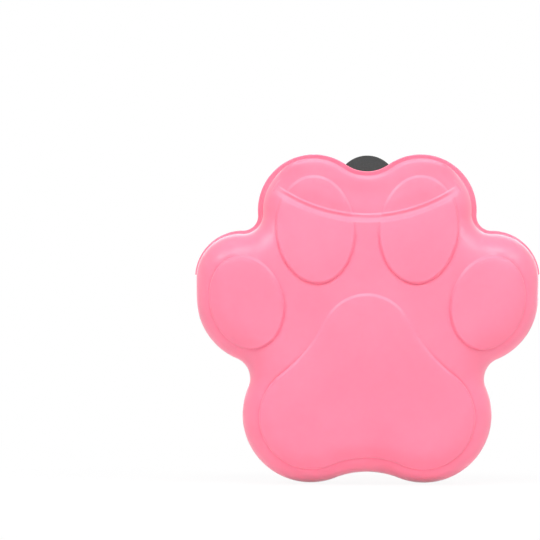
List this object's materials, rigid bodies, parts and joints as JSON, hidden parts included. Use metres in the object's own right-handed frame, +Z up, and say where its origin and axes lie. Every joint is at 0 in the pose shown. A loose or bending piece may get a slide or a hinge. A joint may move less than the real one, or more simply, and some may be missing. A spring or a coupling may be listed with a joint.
{
  "type": "dog treat pouch",
  "caption": "Paw-shaped soft silicone treat pouch with a folding magnetic mouth and a sprung belt clip on its back.",
  "frame": {"origin": "where a belt's top edge rests: middle of the clip plate's outer face, just under the clip's hinge", "axes": "+Z up, +X to the right seen from the front, the front of the pouch faces -Y and the clip is on the +Y side"},
  "size_m": [0.125, 0.0529, 0.1202],
  "materials": {
    "silicone": "matte, soft touch",
    "clip_plastic": "fine spark-eroded grain",
    "pin_steel": "bright drawn",
    "spring_steel": "plain spring wire",
    "screw_steel": "zinc plated",
    "magnet": "nickel plated"
  },
  "bodies": {
    "pouch": {"pouch_body": "silicone", "clip_base": "clip_plastic", "hinge_pin": "pin_steel", "torsion_spring": "spring_steel", "backing_plate": "clip_plastic", "upper_screw": "screw_steel", "lower_screw": "screw_steel"},
    "front_mouth": {"front_lip": "silicone", "front_right_magnet": "magnet", "front_left_magnet": "magnet", "front_right_magnet_cap": "silicone", "front_left_magnet_cap": "silicone"},
    "back_mouth": {"back_lip": "silicone", "back_right_magnet": "magnet", "back_left_magnet": "magnet", "back_right_magnet_cap": "silicone", "back_left_magnet_cap": "silicone"},
    "arm": {"clip_arm": "clip_plastic"}
  },
  "joints": [
    {"name": "front_lip_fold", "type": "hinge", "parent": "pouch", "child": "front_mouth", "pos_m": [0, -0.0364, 0.0022], "axis": [1, 0, 0], "range_deg": [0, 45], "stiffness_Nm_per_rad": 0.01},
    {"name": "back_lip_fold", "type": "hinge", "parent": "pouch", "child": "back_mouth", "pos_m": [0, -0.0054, 0.0022], "axis": [-1, 0, 0], "range_deg": [0, 35], "stiffness_Nm_per_rad": 0.01},
    {"name": "clip_squeeze", "type": "hinge", "parent": "pouch", "child": "arm", "pos_m": [0, 0.0039, 0.007], "axis": [1, 0, 0], "range_deg": [0, 18], "stiffness_Nm_per_rad": 0.2, "springref_deg": -20.05, "deforming": ["torsion_spring"]}
  ]
}
